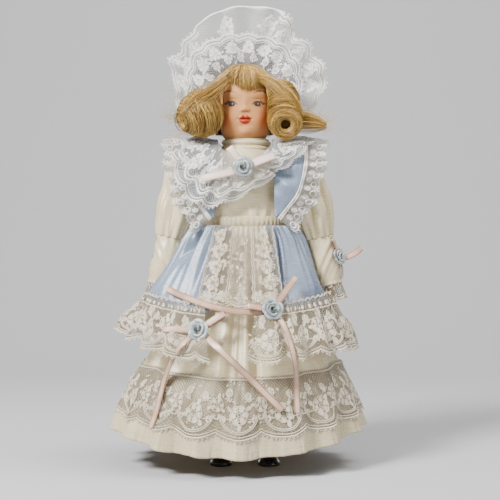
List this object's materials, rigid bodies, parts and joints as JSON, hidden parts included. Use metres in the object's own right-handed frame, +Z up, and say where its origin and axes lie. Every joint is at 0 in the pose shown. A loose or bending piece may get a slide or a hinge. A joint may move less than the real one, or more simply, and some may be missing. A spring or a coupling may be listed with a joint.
{
  "type": "porcelain doll",
  "caption": "Standing bisque doll with mohair curls, lace bonnet and a tiered satin and lace dress; head, arms and legs turn on a cloth body.",
  "frame": {"origin": "centre of the doll's footprint on the floor, level with the soles of the shoes", "axes": "+Z up to the top of the bonnet; the doll faces -Y; +X is the doll's own left"},
  "size_m": [0.116, 0.0904, 0.204],
  "materials": {
    "bisque": "matt bisque porcelain",
    "mohair": "combed mohair",
    "cream_satin": "ivory satin",
    "blue_satin": "pale blue satin",
    "lace": "ivory net lace",
    "ribbon": "peach satin ribbon",
    "rosette_satin": "grey-blue satin ribbon",
    "cotton_cloth": "stuffed plain cotton",
    "thread": "twisted thread",
    "shoe_gloss": "black patent",
    "snap_steel": "plated press stud"
  },
  "bodies": {
    "torso": {"neck_band": "cream_satin", "bodice": "cream_satin", "waistband": "cream_satin", "underskirt": "cream_satin", "hem_flounce": "cream_satin", "left_shoulder_panel": "blue_satin", "right_shoulder_panel": "blue_satin", "overskirt": "blue_satin", "left_shoulder_lace": "lace", "right_shoulder_lace": "lace", "left_collar_lace": "lace", "right_collar_lace": "lace", "apron_lace": "lace", "overskirt_flounce": "lace", "hem_lace": "lace", "collar_bow": "ribbon", "left_skirt_bow": "ribbon", "right_skirt_bow": "ribbon", "collar_rosette": "rosette_satin", "left_skirt_rosette": "rosette_satin", "right_skirt_rosette": "rosette_satin", "cloth_torso": "cotton_cloth", "neck_tie": "thread", "back_snaps": "snap_steel"},
    "head": {"head_shell": "bisque", "wig_cap": "mohair", "back_hair": "mohair", "hair_fringe": "mohair", "left_curl": "mohair", "right_curl": "mohair", "bonnet_crown": "cream_satin", "bonnet_brim": "blue_satin", "bonnet_outer_lace": "lace", "bonnet_inner_lace": "lace"},
    "left_arm": {"left_upper_arm": "cotton_cloth", "left_forearm": "bisque", "left_arm_tie": "thread", "left_sleeve": "cream_satin", "left_lower_sleeve": "cream_satin", "left_cuff_lace": "lace", "left_wrist_bow": "ribbon", "left_wrist_rosette": "rosette_satin"},
    "right_arm": {"right_upper_arm": "cotton_cloth", "right_forearm": "bisque", "right_arm_tie": "thread", "right_sleeve": "cream_satin", "right_lower_sleeve": "cream_satin", "right_cuff_lace": "lace", "right_wrist_bow": "ribbon", "right_wrist_rosette": "rosette_satin"},
    "left_leg": {"left_thigh": "cotton_cloth", "left_lower_leg": "bisque", "left_leg_tie": "thread", "left_shoe": "shoe_gloss"},
    "right_leg": {"right_thigh": "cotton_cloth", "right_lower_leg": "bisque", "right_leg_tie": "thread", "right_shoe": "shoe_gloss"}
  },
  "joints": [
    {"name": "head_turn", "type": "hinge", "parent": "torso", "child": "head", "pos_m": [0, 0.001, 0.133], "axis": [0, 0, 1], "range_deg": [-30, 30]},
    {"name": "left_arm_raise", "type": "hinge", "parent": "torso", "child": "left_arm", "pos_m": [0.025, 0.002, 0.133], "axis": [0, -1, 0], "range_deg": [0, 75]},
    {"name": "right_arm_raise", "type": "hinge", "parent": "torso", "child": "right_arm", "pos_m": [-0.025, 0.002, 0.133], "axis": [0, 1, 0], "range_deg": [0, 75]},
    {"name": "left_leg_swing", "type": "hinge", "parent": "torso", "child": "left_leg", "pos_m": [0.0093, 0.001, 0.092], "axis": [-1, 0, 0], "range_deg": [-12, 15]},
    {"name": "right_leg_swing", "type": "hinge", "parent": "torso", "child": "right_leg", "pos_m": [-0.0093, 0.001, 0.092], "axis": [-1, 0, 0], "range_deg": [-12, 15]}
  ]
}
